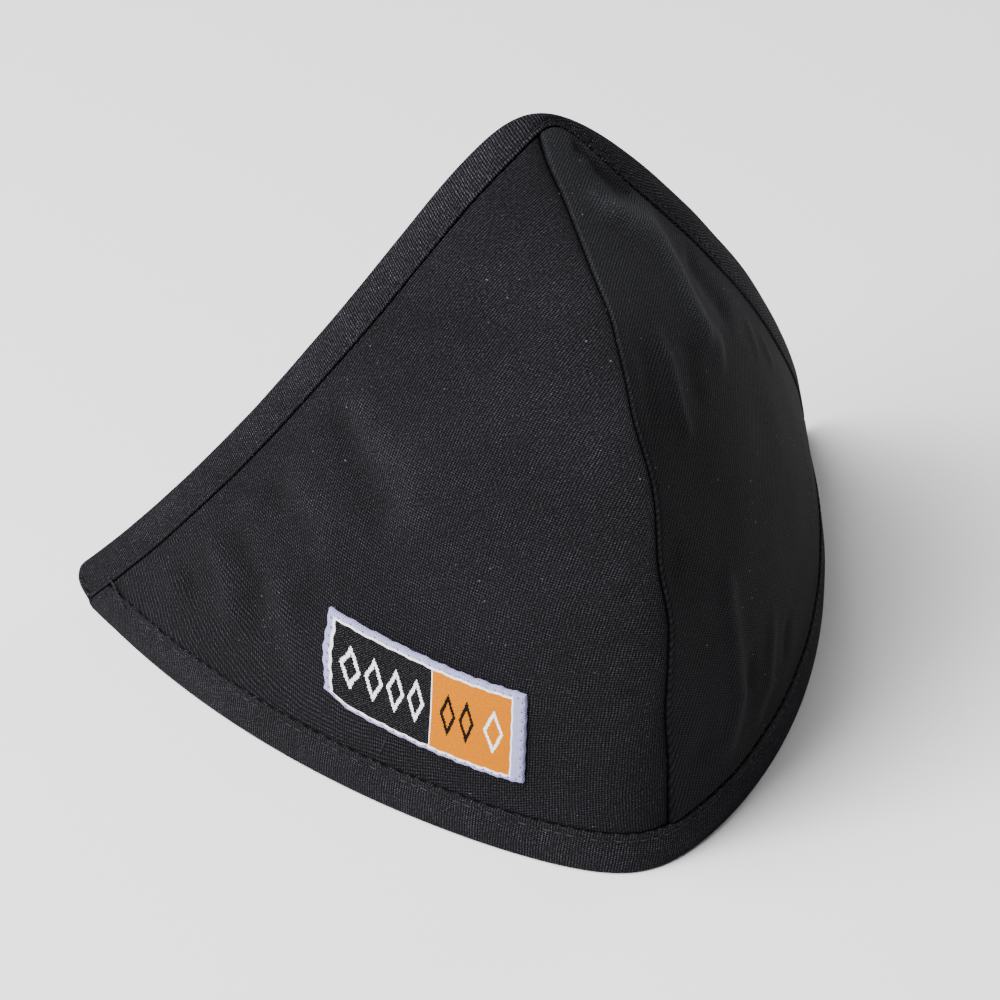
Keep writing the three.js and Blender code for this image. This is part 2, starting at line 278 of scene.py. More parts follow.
def plain_place(columns, up):
    """Points at distances up each column, found by length, and the direction of thickness
    there: the mean normal, turned level at the lower edge, over its share of the true normal."""
    lengths = columns["lengths"]
    first = np.arange(len(lengths))[:, None] * (ROWS + 1)
    apart = first * COLUMN_APART
    where = np.interp((up + apart).ravel(), (lengths + apart).ravel(), np.arange(lengths.size))
    where = where.reshape(up.shape)
    low = np.clip(np.floor(where), first, first + ROWS - 1).astype(int)
    part = (where - low)[..., None]

    def between(key):
        flat = columns[key].reshape(-1, 3)
        return mix(flat[low], flat[low + 1], part)

    mean = unit(between("mean"))
    level_mean = unit(mean * [1, 1, 0])
    share = np.clip(1 - up / HEM_WIDTH, 0, 1)[..., None]
    direction = unit(mix(mean, level_mean, share))
    slant = (direction * unit(between("normal"))).sum(axis=-1, keepdims=True)
    return between("points"), direction / np.maximum(slant, LEAST_SLANT)


probe_columns = columns_at([-0.9, -0.5, 0.0, 0.5, 0.9])
print("hem reach in mm:", probe_columns["hem"].ravel().round(1).tolist())
print("binding reach in mm:", probe_columns["binding"].ravel().round(1).tolist())

# %% [markdown]
# ## Soft folds
# Cloth that was sewn and pressed keeps a few soft folds. A cloth simulation would make others
# each time it changed, so the ones in the photograph are written down as ridges and valleys
# between two places on the cloth. Beside them a faint, seeded ripple stands for the way twill
# never lies quite flat.

# %% Folds
# Each fold is where it starts, as station and distance up, and then its legs: where the leg
# leads, its half width and its height in millimetres, which is negative for a valley.
FOLDS = [
    [
        (0.13, 153.3), (0.173, 146.4, 2.6, 1.3), (0.265, 138.9, 3.6, 1.8),
        (0.345, 132.6, 4.4, 1.8), (0.373, 127.3, 4.4, 1.7), (0.397, 120.2, 4, 1.7),
        (0.413, 111.7, 4, 1.7), (0.438, 104.3, 4.2, 1.6), (0.508, 92.3, 4.4, 1.1),
    ],
    [
        (0.117, 163.2), (0.205, 157.5, 2.4, -0.9), (0.228, 152.5, 2.6, -1),
        (0.278, 145.6, 3, -1.2), (0.347, 140.1, 2.6, -1),
    ],
    [(0.2, 149.1), (0.155, 147.9, 2.4, -0.5), (0.14, 144.3, 2.4, -0.5)],
    [(0.46, 120.2), (0.515, 108.5, 3.6, -0.9), (0.585, 93.1, 3.8, -0.9)],
    [(0.64, 91), (0.653, 76.1, 2.4, 0.45)],
    [(0.683, 81.1), (0.725, 66.1, 2.2, 0.4)],
    [(0.143, 120.3), (0.115, 111, 3.6, -0.5), (0.068, 101.3, 3.6, -0.5)],
    [(0.218, 119.3), (0.24, 110.3, 2.8, 0.52), (0.23, 100.4, 3, 0.75), (0.255, 91.3, 3, 0.6)],
    [(0.357, 109.7), (0.342, 101.6, 4.2, -0.5), (0.32, 93.6, 4.2, -0.5)],
    [(0.308, 64.7), (0.328, 43.2, 3.2, 0.7), (0.345, 27.8, 3, 0.84), (0.255, 14.6, 3.2, 0.7)],
    [(0.39, 39.6), (0.395, 19.4, 3.2, -0.7)],
    [(0.508, 38.8), (0.465, 20.9, 3, 0.7), (0.387, 15.8, 3, 0.56)],
    [(0.58, 30.2), (0.532, 17.2, 3, -0.7)],
    [(0.075, 83.6), (0.048, 67.1, 3.5, -0.3)],
    [(0.09, 31.5), (0.225, 18.6, 5, -0.5)],
    [(-0.622, 100), (-0.612, 87.5, 4, 0.74), (-0.572, 83.3, 4.5, 0.74), (-0.59, 64.4, 5, 0.74)],
    [(-0.652, 93.8), (-0.645, 77.9, 4, -0.74), (-0.63, 61.4, 4.5, -0.74)],
    [(-0.735, 74.7), (-0.705, 62.8, 4, 0.74), (-0.708, 49.8, 4, 0.62)],
    [(-0.76, 69), (-0.755, 56.1, 3, -0.62)],
    [(-0.802, 58.8), (-0.78, 54.9, 2.8, 0.5)],
    [(-0.822, 50.9), (-0.802, 39.2, 3, -0.74), (-0.82, 23.3, 3.5, -0.74)],
    [(-0.845, 46.1), (-0.835, 34.1, 3, 0.62), (-0.84, 23.9, 3, 0.62)],
    [(-0.88, 34.9), (-0.87, 22.3, 2.6, -0.62)],
    [(-0.902, 28.6), (-0.892, 20.8, 2.4, 0.5)],
    [(-0.778, 46.5), (-0.77, 31.5, 3.5, 0.62), (-0.762, 20.9, 3.5, 0.5)],
    [(-0.742, 50.5), (-0.735, 33.8, 4, -0.5)],
    [(-0.182, 72.7), (-0.085, 75.2, 2.2, 0.32)],
    [(-0.18, 69.8), (-0.088, 69.3, 2.2, -0.32)],
    [(-0.208, 46), (-0.057, 47.6, 2, -0.42)],
    [(-0.23, 42.9), (-0.08, 44, 2.4, 0.32)],
    [(-0.365, 27), (-0.192, 21.8, 5, -0.32)],
]
FOLD_LEGS = np.array(
    [
        (*fold[i][:2], *leg, i == 0, i == len(fold) - 2)
        for fold in FOLDS
        for i, leg in enumerate(fold[1:])
    ],
    float,
)
FOLD_FADE = 3.0
FLAT_AT_HEM = 6.0  # no ripple at the floor, and all of it at this height
PROUD = 0.5  # height of the binding over the cheek
RIPPLE, RIPPLE_WAVES = 0.12, 24


def points_at(stations, ups):
    """Plain points for pairs of station and distance up."""
    place_of, _ = plain_place(columns_at(stations), np.asarray(ups, float)[:, None])
    return place_of[:, 0]


fold_starts = points_at(FOLD_LEGS[:, 0], FOLD_LEGS[:, 1])
fold_ends = points_at(FOLD_LEGS[:, 2], FOLD_LEGS[:, 3])


def fold_height(points, columns, up):
    """Highest ridge plus deepest valley of height x exp(-(distance / width)^2), where distance
    is to the leg of a fold, with a smooth taper at both ends of the fold, ironed flat close to
    the hem and the binding."""
    ridge = np.zeros(up.shape)
    valley = np.zeros(up.shape)
    for start, end, numbers in zip(fold_starts, fold_ends, FOLD_LEGS):
        width, depth, first, last = numbers[4:]
        leg = end - start
        along = np.clip(((points - start) @ leg) / (leg @ leg), 0, 1)[..., None]
        distance = np.linalg.norm(points - start - along * leg, axis=-1)
        first = mix(1, smooth(along[..., 0], 0, 0.5), first)
        last = mix(1, smooth(1 - along[..., 0], 0, 0.5), last)
        height = depth * np.exp(-((distance / width) ** 2)) * first * last
        ridge = np.maximum(ridge, height)
        valley = np.minimum(valley, height)
    fade_hem = smooth(up, columns["hem"], columns["hem"] + FOLD_FADE)
    from_head = columns["height"] - up
    fade_head = smooth(from_head, columns["binding"], columns["binding"] + FOLD_FADE)
    return (ridge + valley) * fade_hem * fade_head


chance = np.random.default_rng(7)
ripple_ways = unit(chance.normal(size=(RIPPLE_WAVES, 3)))
ripple_lengths = chance.uniform(14, 45, (RIPPLE_WAVES, 1))
ripple_phase = chance.uniform(0, 2 * np.pi, RIPPLE_WAVES)


def ripple(points):
    """Sum of 24 sine waves in space, 14 to 45 mm long and in any direction, over root 24."""
    waves_in_space = ripple_ways * (2 * np.pi / ripple_lengths)
    return np.sin(points @ waves_in_space.T + ripple_phase).sum(axis=-1) / RIPPLE_WAVES**0.5


def place(columns, up, over):
    """Points at a height over the cheek's outer face: plain point + direction x height."""
    point, direction = plain_place(columns, up)
    folds = fold_height(point, columns, up)
    free = smooth(up, 0.0, FLAT_AT_HEM)
    height = folds + RIPPLE * ripple(point) * free - PROUD + over
    return point + direction * height[..., None]


leg_lengths = np.linalg.norm(fold_ends - fold_starts, axis=1)
print(len(FOLDS), "folds, their legs in mm:", leg_lengths.round(0).tolist())

# %% [markdown]
# ## From rings to meshes
# Every piece of cloth here is a loft: rings of points that each follow a section of the piece,
# joined to the next ring. Blender's curve bevel could sweep a section too, but the sections
# here change along the way, so the rings are computed as one array of points and handed to the
# mesh at once.

# %% Loft
def point_values(mesh, name, values):
    """One number for each point of a mesh, which a material can read by its name."""
    attribute = mesh.attributes.new(name, "FLOAT", "POINT")
    attribute.data.foreach_set("value", values.astype(np.float32).ravel())


def walked(points):
    """Length walked along points, from 0 at the first."""
    steps = np.linalg.norm(np.diff(points, axis=0), axis=-1)
    return np.concatenate([np.zeros((1,) + steps.shape[1:]), np.cumsum(steps, axis=0)])


def loft(name, rings, uv, material_of=None, painted_light_and_shade=None):
    """Closed body through rings of shape (rings, points, 3): a quad between neighbours, and at
    either end a ladder of quads from each point to the one across it. uv is per point, and so is
    the last argument, the logarithm of the factor that painted light and shade put on the colour."""
    count, size, _ = rings.shape
    index = np.arange(count * size).reshape(count, size)
    here, there = index[:-1], index[1:]
    walls = np.stack(
        [here, there, np.roll(there, -1, axis=1), np.roll(here, -1, axis=1)], axis=-1
    ).reshape(-1, 4)
    i = np.arange(size // 2 - 1)
    first = np.stack([i, i + 1, size - 2 - i, size - 1 - i], axis=-1)
    last = first[:, [0, 3, 2, 1]]
    faces = np.concatenate([walls, index[0][first], index[-1][last]])

    mesh = bpy.data.meshes.new(name)
    mesh.vertices.add(count * size)
    mesh.vertices.foreach_set("co", ((rings + TO_ORIGIN) / 1000).astype(np.float32).ravel())
    mesh.loops.add(faces.size)
    mesh.loops.foreach_set("vertex_index", faces.astype(np.int32).ravel())
    mesh.polygons.add(len(faces))
    mesh.polygons.foreach_set("loop_start", np.arange(0, faces.size, 4, dtype=np.int32))
    mesh.update(calc_edges=True)
    mesh.polygons.foreach_set("use_smooth", np.ones(len(faces), bool))
    if material_of is not None:
        mesh.polygons.foreach_set("material_index", material_of(faces % size).astype(np.int32))
    layer = mesh.uv_layers.new(name="cloth")
    layer.data.foreach_set("uv", uv.reshape(-1, 2)[faces.ravel()].astype(np.float32).ravel())
    if painted_light_and_shade is not None:
        point_values(mesh, "painted_light_and_shade", painted_light_and_shade)
    mesh.set_sharp_from_angle(angle=math.radians(60))
    mesh.validate()
    piece = add_object(name, mesh)
    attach(piece, "root")
    print(f"{name}: {len(faces) * 2} triangles")
    return piece


def flattened(columns):
    """The cloth laid flat, as the foot and head of each column in the plane. Each next point
    is found from the last two by its distances to them, so lengths on the cloth are kept."""
    foot, head = columns["points"][:, 0], columns["points"][:, -1]
    height = columns["height"][:, 0]
    stretch = height / np.linalg.norm(head - foot, axis=1)
    flat_foot, flat_head = [np.zeros(2)], [np.array([0.0, height[0]])]
    side = np.sign(columns["stations"].sum())

    def beyond(a, b, from_a, from_b):
        gap = np.linalg.norm(b - a)
        x = (from_a**2 - from_b**2 + gap**2) / (2 * gap)
        y = math.sqrt(max(from_a**2 - x**2, 0))
        along = (b - a) / gap
        return a + x * along + y * side * np.array([along[1], -along[0]])

    for i in range(1, len(foot)):
        diagonal = np.linalg.norm(foot[i] - head[i - 1]) * (stretch[i] + stretch[i - 1]) / 2
        low = beyond(flat_foot[-1], flat_head[-1], np.linalg.norm(foot[i] - foot[i - 1]), diagonal)
        high = beyond(low, flat_head[-1], height[i], np.linalg.norm(head[i] - head[i - 1]))
        flat_foot.append(low)
        flat_head.append(high)
    return np.array(flat_foot), np.array(flat_head)


# %% [markdown]
# ## Cheeks
# A cheek is two layers sewn back to back: twill outside, brushed lining inside. It could be a
# single sheet with a Solidify modifier, but its wall gets thinner where the binding and the hem
# close over it. So one ring runs up the outer face and down the inner one. At the centre seam
# the allowances are pressed to the right, which leaves a groove with a raised roll beside it.

# %% Cheek walls
CLOTH = 2.2
THIN = 1.0  # where a strip closes over the cheek
STRIP = 0.9
FOLDED = THIN + 2 * (GAP + STRIP)
INSET = STRIP + GAP
CLEAR = 0.06
BEVEL = 0.35
HEM_RUNS_OUT = 2.2
CHEEK_END = 0.9965
BESIDE_SEAM = [0, 0.0012, 0.0025, 0.004, 0.006, 0.0085]  # stations of the closest columns
CHEEK_COLUMNS = 200
CHEEK_ROWS = 150
EASE = np.array([0.0, 0.2, 0.4, 0.65, 1.0])  # share of the bevel beside a strip
FOLD_PAINTED_LIGHT = 0.32  # per millimetre of fold height: painted light on the ridges, painted shade in the hollows
SEAM_SHADE = 1.1  # painted shade: the cloth is darkened down in the seam
SEAM_SHADE_LEFT, SEAM_SHADE_RIGHT = 0.75, 0.4  # millimetres


def tip_spread(x):
    """Stations for even steps x: 0.75 x + 1.3 x^2 - 1.05 x^3, closer together at both ends."""
    return 0.75 * x + 1.3 * x**2 - 1.05 * x**3


def seam_relief(side, distance):
    """Height beside the seam. Both edges roll into the groove, as -depth x exp(-distance / w).
    The left side sinks in a shallow valley, and the right one, which carries the allowances,
    rises at once in a soft roll that fades over seven millimetres."""
    if side < 0:
        return -0.7 * np.exp(-distance / 0.5) - 0.4 * np.exp(-((distance / 4.5) ** 2))
    roll_up = 0.07 * np.exp(-((distance / 1.6) ** 2)) + 0.2 * np.exp(-((distance / 7.0) ** 2))
    return -1.0 * np.exp(-distance / 0.3) + roll_up


def cheek(name, side):
    """Rings of one cheek. Rows run up between the strips, with a bevel at both."""
    even = tip_spread(np.linspace(0, 1, CHEEK_COLUMNS + 1))
    even = even[(even > 0.0105) & (even < CHEEK_END - 0.001)]
    columns = columns_at(side * np.concatenate([BESIDE_SEAM, even, [CHEEK_END]]))
    height, binding, hem = columns["height"], columns["binding"], columns["hem"]
    low = np.maximum(hem + CLEAR, INSET + CLEAR)
    high = np.maximum(height - binding - CLEAR, low + 2 * GAP)
    margin = np.minimum(BEVEL, (high - low) / 4)
    body = mix(low + margin, high - margin, np.linspace(0, 1, CHEEK_ROWS)[None, 1:-1])
    up = np.concatenate(
        [
            mix(INSET, low, np.array([[0, 0.5]])),
            low + margin * EASE,
            body,
            high - margin * EASE[::-1],
            mix(high, height - INSET, np.array([[0.5, 1.0]])),
        ],
        axis=1,
    )
    swell = smooth(high - low, 2 * GAP, HEM_RUNS_OUT)
    rise = smooth(up, low, low + margin) * smooth(high - up, 0, margin) * swell

    plain, _ = plain_place(columns, up)
    from_seam = walked(plain)
    thin = PROUD - STRIP - GAP
    outer_face = mix(thin, seam_relief(side, from_seam), rise)
    lining_dip = 0.5 * np.exp(-from_seam)
    inner_face = mix(thin - THIN, -CLOTH + lining_dip, rise)
    rings = np.concatenate(
        [place(columns, up, outer_face), place(columns, up, inner_face)[:, ::-1]], axis=1
    )

    foot, head = flattened(columns)
    uv = mix(foot[:, None], head[:, None], (up / height)[..., None])
    uv = np.concatenate([uv, uv[:, ::-1]], axis=1)
    # Painted shade and light on the twill: darker down in the seam, and lighter on the ridges and
    # darker in the hollows of the folds, by the height of the fold.
    shade_width = SEAM_SHADE_LEFT if side < 0 else SEAM_SHADE_RIGHT
    seam_painted_shade = -SEAM_SHADE * np.exp(-from_seam / shade_width)
    outside = seam_painted_shade + FOLD_PAINTED_LIGHT * fold_height(plain, columns, up)
    painted_light_and_shade = np.concatenate([outside, seam_painted_shade[:, ::-1]], axis=1)
    half = up.shape[1]
    if side < 0:
        rings, uv, painted_light_and_shade = rings[::-1], uv[::-1], painted_light_and_shade[::-1]
    return loft(name, rings, uv, lambda corner: (corner.min(axis=1) >= half).astype(int), painted_light_and_shade)


left_cheek = cheek("left_cheek", -1)
right_cheek = cheek("right_cheek", 1)
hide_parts("left_panel")
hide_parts("right_panel")

# %% [markdown]
# ## Binding and hem
# Both are strips of the same cloth folded over a raw edge, with a leg on each face, and sewn
# down close to the inner fold. A curve with a bevel profile could carry them, but it would
# twist at the tips. Their section is a path round the fold instead, computed at every station.
# The thread pulls the cloth in, so the section dips at the stitch line and swells beside it.

# %% Folded strips
STITCH_PITCH = 2.6
STRIP_END = 0.9985
BINDING_END = 0.9999  # the binding closes over the tip
CLOSES = 1.6  # millimetres before its end
LIP = np.array([0.0, 0.05, 0.15, 0.35])  # distances from the free edge of a leg
LIP_DROP = np.array([0.3, 0.12, 0.03, 0.0])
BINDING_INSET, HEM_INSET = 1.1, 1.6  # from the free edge to the stitches
RING_SPACING = 0.65


def fold_section(width, depth, swell_of):
    """Path round a fold at a depth under its surface, as distances from the folded edge and
    heights. Straight legs of the given width, joined by r = sin(angle)^0.6 and cos(angle)."""
    legs = np.linspace(0, 1, 15)
    turn = np.linspace(0, np.pi, 13)[1:-1]
    reach = 0.9 - 0.6 * depth
    middle = PROUD - FOLDED / 2
    half = FOLDED / 2 - depth
    leg = np.concatenate([width - LIP, mix(width - 0.6, depth + reach, legs)], axis=-1)
    puff = np.zeros(leg.shape)
    if depth == 0:
        puff = swell_of(leg)
        puff[..., : len(LIP)] -= LIP_DROP
    bend = np.broadcast_to(depth + reach * (1 - np.sin(turn) ** 0.6), leg.shape[:-1] + turn.shape)
    bend_over = np.broadcast_to(middle + half * np.cos(turn), bend.shape)
    distance = np.concatenate([leg, bend, leg[..., ::-1]], axis=-1)
    inner_leg = (middle - half - 0.6 * puff)[..., ::-1]
    return distance, np.concatenate([middle + half + puff, bend_over, inner_leg], axis=-1)


def strip_stations(first, last, spacing):
    """Stations about one spacing apart, in millimetres along the longer of the two edges."""
    fine = np.linspace(first, last, 4000)
    foot, top = (np.linalg.norm(np.diff(edge, axis=0), axis=1) for edge in edges(fine))
    length = np.concatenate([[0], np.cumsum(np.maximum(foot, top))])
    return np.interp(np.linspace(0, length[-1], int(length[-1] / spacing) + 1), length, fine)


def strip_swell(width, stitch_line, along, belly):
    """Belly x sin^2 between the fold and the stitches, minus a furrow at the stitch line that
    is deeper under each stitch, as 1 + 0.5 cos(2 pi along / pitch)."""

    def swell_of(distance):
        inside = np.clip(distance / stitch_line, 0, 1)
        rise = belly * np.sin(np.pi * inside) ** 2
        furrow = 0.22 * np.exp(-(((distance - stitch_line) / 0.55) ** 2))
        pull = 1 + 0.5 * np.cos(2 * np.pi * along / STITCH_PITCH)
        return rise - furrow * pull

    return swell_of


def folded_strip(name, stations, width_of, at_top, inset, belly):
    """Strip over the upper or the lower edge. A distance from the fold, times the strip's reach
    over its width, is a distance along the column."""
    columns = columns_at(stations)
    reach = columns["binding" if at_top else "hem"]
    width = width_of(columns["stations"])[:, None]
    edge = columns["points"][:, -1 if at_top else 0]
    along = walked(edge)[:, None]
    swell_of = strip_swell(width, width - inset, along, belly)
    rings, uvs = [], []
    for depth in (0.0, STRIP):
        distance, over = fold_section(width, depth, swell_of)
        up = distance * reach / width
        up = columns["height"] - up if at_top else up
        blunt = (1 - np.abs(columns["stations"])) * TIP_SPEED
        close = np.sqrt(1 - (1 - np.clip(blunt / CLOSES, 0.002, 1)) ** 2)[:, None] if at_top else 1
        middle = PROUD - FOLDED / 2
        rings.append(place(columns, up, middle + (over - middle) * close))
        down, out = (np.diff(path, axis=1, prepend=path[:, :1]) for path in (distance, over))
        run = np.cumsum(np.hypot(down, out), axis=1)
        uvs.append(np.stack(np.broadcast_arrays(along, run), axis=-1))
    rings = np.concatenate([rings[0], rings[1][:, ::-1]], axis=1)
    uvs = np.concatenate([uvs[0], uvs[1][:, ::-1]], axis=1)
    turned = 1 if at_top else -1
    return loft(name, rings[:, ::turned], uvs[:, ::turned])


def hem_width(stations):
    """10.3 mm all round."""
    return np.full(len(stations), HEM_WIDTH)


top_stations = strip_stations(-BINDING_END, BINDING_END, RING_SPACING)
top_strip = folded_strip(
    "top_binding_cloth", top_stations, binding_width, True, BINDING_INSET, 0.22
)
hem_all = strip_stations(-STRIP_END, STRIP_END, RING_SPACING)
hem_stations = hem_all[columns_at(hem_all)["hem"][:, 0] > HEM_STARTS]
hem_strip = folded_strip("hem_cloth", hem_stations, hem_width, False, HEM_INSET, 0.3)
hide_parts("top_binding")
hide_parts("hem_binding")

# %% [markdown]
# ## Label
# A woven label lies on the left cheek: a pale satin border, a black field and an orange one.
# It could be a flat plane wrapped on with a modifier. Here it is laid out in millimetres along
# and up from its middle, and the cloth's own directions turn those into stations and heights,
# so that it bends with the cheek. Its edge waves a little where the stitches pull it.

# %% Label body
LABEL_LENGTH, LABEL_HEIGHT, LABEL_THICK = 45.2, 21.8, 0.7
LABEL_STATION, LABEL_UP, LABEL_TILT = -0.5805, 31.2, -0.048
LABEL_STITCH = 2.3
LAID_GAP = 0.5
CORNER, DRAWN_IN, SAG, BOW = 6.0, 2.2, 0.9, 0.7


def cloth_steps(station, up):
    """Millimetres along per station, slant and rise per millimetre up, at one place."""
    here, beside, above = points_at([station, station + WIDE_STEP, station], [up, up, up + 1])
    per_station = (beside - here) / WIDE_STEP
    per_up = above - here
    slant = per_up @ unit(per_station)
    return np.linalg.norm(per_station), slant, math.sqrt(per_up @ per_up - slant**2)


label_stretch, label_slant, label_rise = cloth_steps(LABEL_STATION, LABEL_UP)


def on_label(along, above, over):
    """Points on the cheek for places on the label, any shape of arrays. The lower left corner
    is drawn in, the left edge bows out and the long edges sag, as the thread has pulled them."""
    left = np.clip((-along - LABEL_LENGTH / 2 + CORNER) / CORNER, 0, 1)
    below = np.clip(0.5 - above / LABEL_HEIGHT, 0, 1)
    above = above + DRAWN_IN * left**1.6 * below**2
    above = above - SAG * (1 - (2 * along / LABEL_LENGTH) ** 2) + SAG / 2
    along = along - BOW * left * np.sin(np.pi * below) ** 2
    ups = (above + LABEL_TILT * along) / label_rise
    stations = LABEL_STATION + (along - label_slant * ups) / label_stretch
    shape = np.shape(stations)
    over = np.broadcast_to(over, shape).reshape(-1, 1)
    made = place(columns_at(stations.ravel()), (LABEL_UP + ups).reshape(-1, 1), over)
    return made.reshape(shape + (3,))


def label_relief(along, above):
    """Border swell, less a drop at the rim and a dimple at each stitch hole, 2.3 mm apart:
    depth x exp(-((to edge - 0.8) / 0.4)^2) x cos(pi run / 2.3)^4."""
    beside = LABEL_LENGTH / 2 - np.abs(along)
    over_under = LABEL_HEIGHT / 2 - np.abs(above)
    to_edge = np.minimum(beside, over_under)
    run = np.where(beside < over_under, above, along)
    border = 0.16 * np.exp(-(((to_edge - 0.9) / 0.6) ** 2))
    dimple = 0.3 * np.exp(-(((to_edge - 0.8) / 0.4) ** 2))
    dimple = dimple * np.cos(np.pi * run / LABEL_STITCH) ** 4
    drop = 0.25 * np.exp(-to_edge / 0.25)
    return border - dimple - drop


half_length, half_height = LABEL_LENGTH / 2, LABEL_HEIGHT / 2
label_along = np.linspace(-half_length, half_length, 150)[:, None]
label_above = np.linspace(-half_height, half_height, 74)[None]
edge_wave = 0.12 * np.sin(2 * np.pi * label_along / 4.7 + 0.8)
edge_wave = edge_wave + 0.07 * np.sin(2 * np.pi * label_along / 2.1)
end_wave = 0.1 * np.sin(2 * np.pi * label_above / 3.9)
grid_above = label_above * (1 + edge_wave / half_height * np.abs(label_above / half_height))
grid_along = label_along + end_wave * label_along / half_length
label_over = LAID_GAP + LABEL_THICK + label_relief(label_along, label_above)
label_face = on_label(grid_along, grid_above, label_over)
label_back = on_label(grid_along, grid_above, LAID_GAP - 0.45)
label_uv = np.stack(np.broadcast_arrays(label_along, label_above), axis=-1)
woven_label = loft(
    "woven_label",
    np.concatenate([label_face, label_back[:, ::-1]], axis=1),
    np.concatenate([label_uv, label_uv[:, ::-1]], axis=1),
)
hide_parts("label")

# %% [markdown]
# ## Fastener pads
# Inside each tip a plain hook pad holds the mouthpiece to the liner. The photograph doesn't
# show them, so they stay simple: a thin slab with rounded edges that follows the lining, and a
# field of small hooks in its material.

# %% Pads
PAD_THICK = 1.8
PAD_FROM, PAD_TO, PAD_LOW, PAD_HIGH, PAD_BELOW = 0.78, 0.94, 15.0, 50.0, 12.5
PAD_GRID = 56
RIM_INSET = 1.6


def fastener_pad(name, side):
    """Slab under the lining. Its face sinks by exp(-distance to the rim / 0.4) at the rim."""
    stations = np.linspace(PAD_FROM + 0.004, PAD_TO - 0.006, PAD_GRID)
    columns = columns_at(side * stations)
    high = np.minimum(PAD_HIGH, columns["height"] - PAD_BELOW)
    up = mix(PAD_LOW, high, np.linspace(0, 1, PAD_GRID)[None])
    plain, _ = plain_place(columns, up)
    across = walked(plain)
    rim = np.minimum(np.minimum(across, across[-1] - across), np.minimum(up - PAD_LOW, high - up))
    face = -CLOTH - 0.1
    sunk = 0.7 * np.exp(-rim / 0.4)
    inner = place(columns, up, face - LAID_GAP + 0.1 - PAD_THICK + sunk)
    outer = place(columns, up, np.broadcast_to(face, up.shape))
    uv = np.stack([across, up], axis=-1)
    rings = np.concatenate([outer, inner[:, ::-1]], axis=1)
    uv = np.concatenate([uv, uv[:, ::-1]], axis=1)
    return loft(name, rings[::side], uv[::side])


left_pad = fastener_pad("left_hook_pad", -1)
right_pad = fastener_pad("right_hook_pad", 1)
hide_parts("left_fastener_pad")
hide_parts("right_fastener_pad")

# %% [markdown]
# ## Stitches
# Thread comes up out of the cloth, lies on it for two millimetres and goes down again. A dashed
# texture would show that from far away only. Each stitch here is a short tube that bows over
# the cloth, and one function makes all the stitches of a row as a single array.

# %% Stitch rows
THREAD = 0.2  # radius
AROUND, ALONG = 6, 6


def tubes(name, centres, radii):
    """Closed tubes of shape (tubes, rings, 3) in one mesh. Each ring is a circle about its
    centre, square to the tube, and a polygon closes either end."""
    centres = np.asarray(centres, float)
    count, rings, _ = centres.shape
    forward = unit(np.gradient(centres, axis=1))
    spare = np.where(np.abs(forward[..., 2:]) > 0.9, [1.0, 0, 0], [0, 0, 1.0])
    side = unit(np.cross(forward, spare))
    other = np.cross(forward, side)
    angle = np.linspace(0, 2 * np.pi, AROUND, endpoint=False)[:, None]
    circle = np.cos(angle) * side[:, :, None] + np.sin(angle) * other[:, :, None]
    points = centres[:, :, None] + circle * np.broadcast_to(radii, (count, rings))[:, :, None, None]
    index = np.arange(points.size // 3).reshape(count, rings, AROUND)
    beside = np.roll(index, -1, axis=2)
    walls = np.stack([index[:, :-1], beside[:, :-1], beside[:, 1:], index[:, 1:]], axis=-1)
    ends = np.concatenate([index[:, 0, ::-1], index[:, -1]])
    mesh = bpy.data.meshes.new(name)
    place_m = (points.reshape(-1, 3) + TO_ORIGIN) / 1000
    mesh.from_pydata(place_m.tolist(), [], walls.reshape(-1, 4).tolist() + ends.tolist())
    mesh.polygons.foreach_set("use_smooth", np.ones(len(mesh.polygons), bool))
    tone = np.repeat(np.random.default_rng(count).uniform(0, 1, count), rings * AROUND)
    point_values(mesh, "tone", tone)
    piece = add_object(name, mesh)
    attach(piece, "root")
    print(f"{name}: {count} threads, {len(walls.reshape(-1, 4)) * 2} triangles in their walls")
    return piece


def path_on(stations, ups, over):
    """Points and directions of thickness along a path of places on the cloth."""
    columns = columns_at(stations)
    ups = np.asarray(ups, float)[:, None]
    path = place(columns, ups, np.full(ups.shape, over))[:, 0]
    return path, plain_place(columns, ups)[1][:, 0]


def stitches_along(path, direction, pitch=STITCH_PITCH, length=2.0, rise=0.16, sunk=0.12):
    """Centrelines of the stitches along a path. Each is an arc, rise x sin(pi t) - sunk over
    the cloth, so that its ends go into it."""
    run = walked(path)
    starts = np.arange(pitch / 2, run[-1] - length, pitch)
    t = np.linspace(0, 1, ALONG)
    at = starts[:, None] + length * t
    point = np.stack([np.interp(at, run, path[:, k]) for k in range(3)], axis=-1)
    normal = np.stack([np.interp(at, run, direction[:, k]) for k in range(3)], axis=-1)
    return point + normal * (rise * np.sin(np.pi * t) - sunk)[:, None]


def strip_stitches(stations, width, inset, at_top, inward):
    """Centrelines of the row that holds a strip down, on its outer or its inner leg."""
    columns = columns_at(stations)
    reach = columns["binding" if at_top else "hem"][:, 0]
    line_at = (width - inset) / width * reach
    ups = columns["height"][:, 0] - line_at if at_top else line_at
    path, direction = path_on(stations, ups, PROUD - FOLDED if inward else PROUD - 0.12)
    return stitches_along(path, -direction if inward else direction)


fine = np.linspace(-0.985, 0.985, 1500)
binding_rows = np.concatenate(
    [
        strip_stitches(fine, binding_width(fine), BINDING_INSET, True, inward)
        for inward in (False, True)
    ]
)
hem_fine = np.linspace(hem_stations[0] + 0.006, hem_stations[-1] - 0.006, 1500)
hem_rows = np.concatenate(
    [
        strip_stitches(hem_fine, hem_width(hem_fine), HEM_INSET, False, inward)
        for inward in (False, True)
    ]
)
profile = THREAD * np.array([0.55, 0.95, 1.0, 1.0, 0.95, 0.55])
binding_stitches = tubes("binding_stitches", binding_rows, profile * 0.8)
hem_stitches = tubes("hem_stitches", hem_rows, profile)

# %% [markdown]
# ## Small sewing
# A row of stitches shows on each cheek where the pad behind it is sewn on, and a bar tack, a
# dense zigzag, keeps the binding and the hem together at each tip. Both use the same tubes.

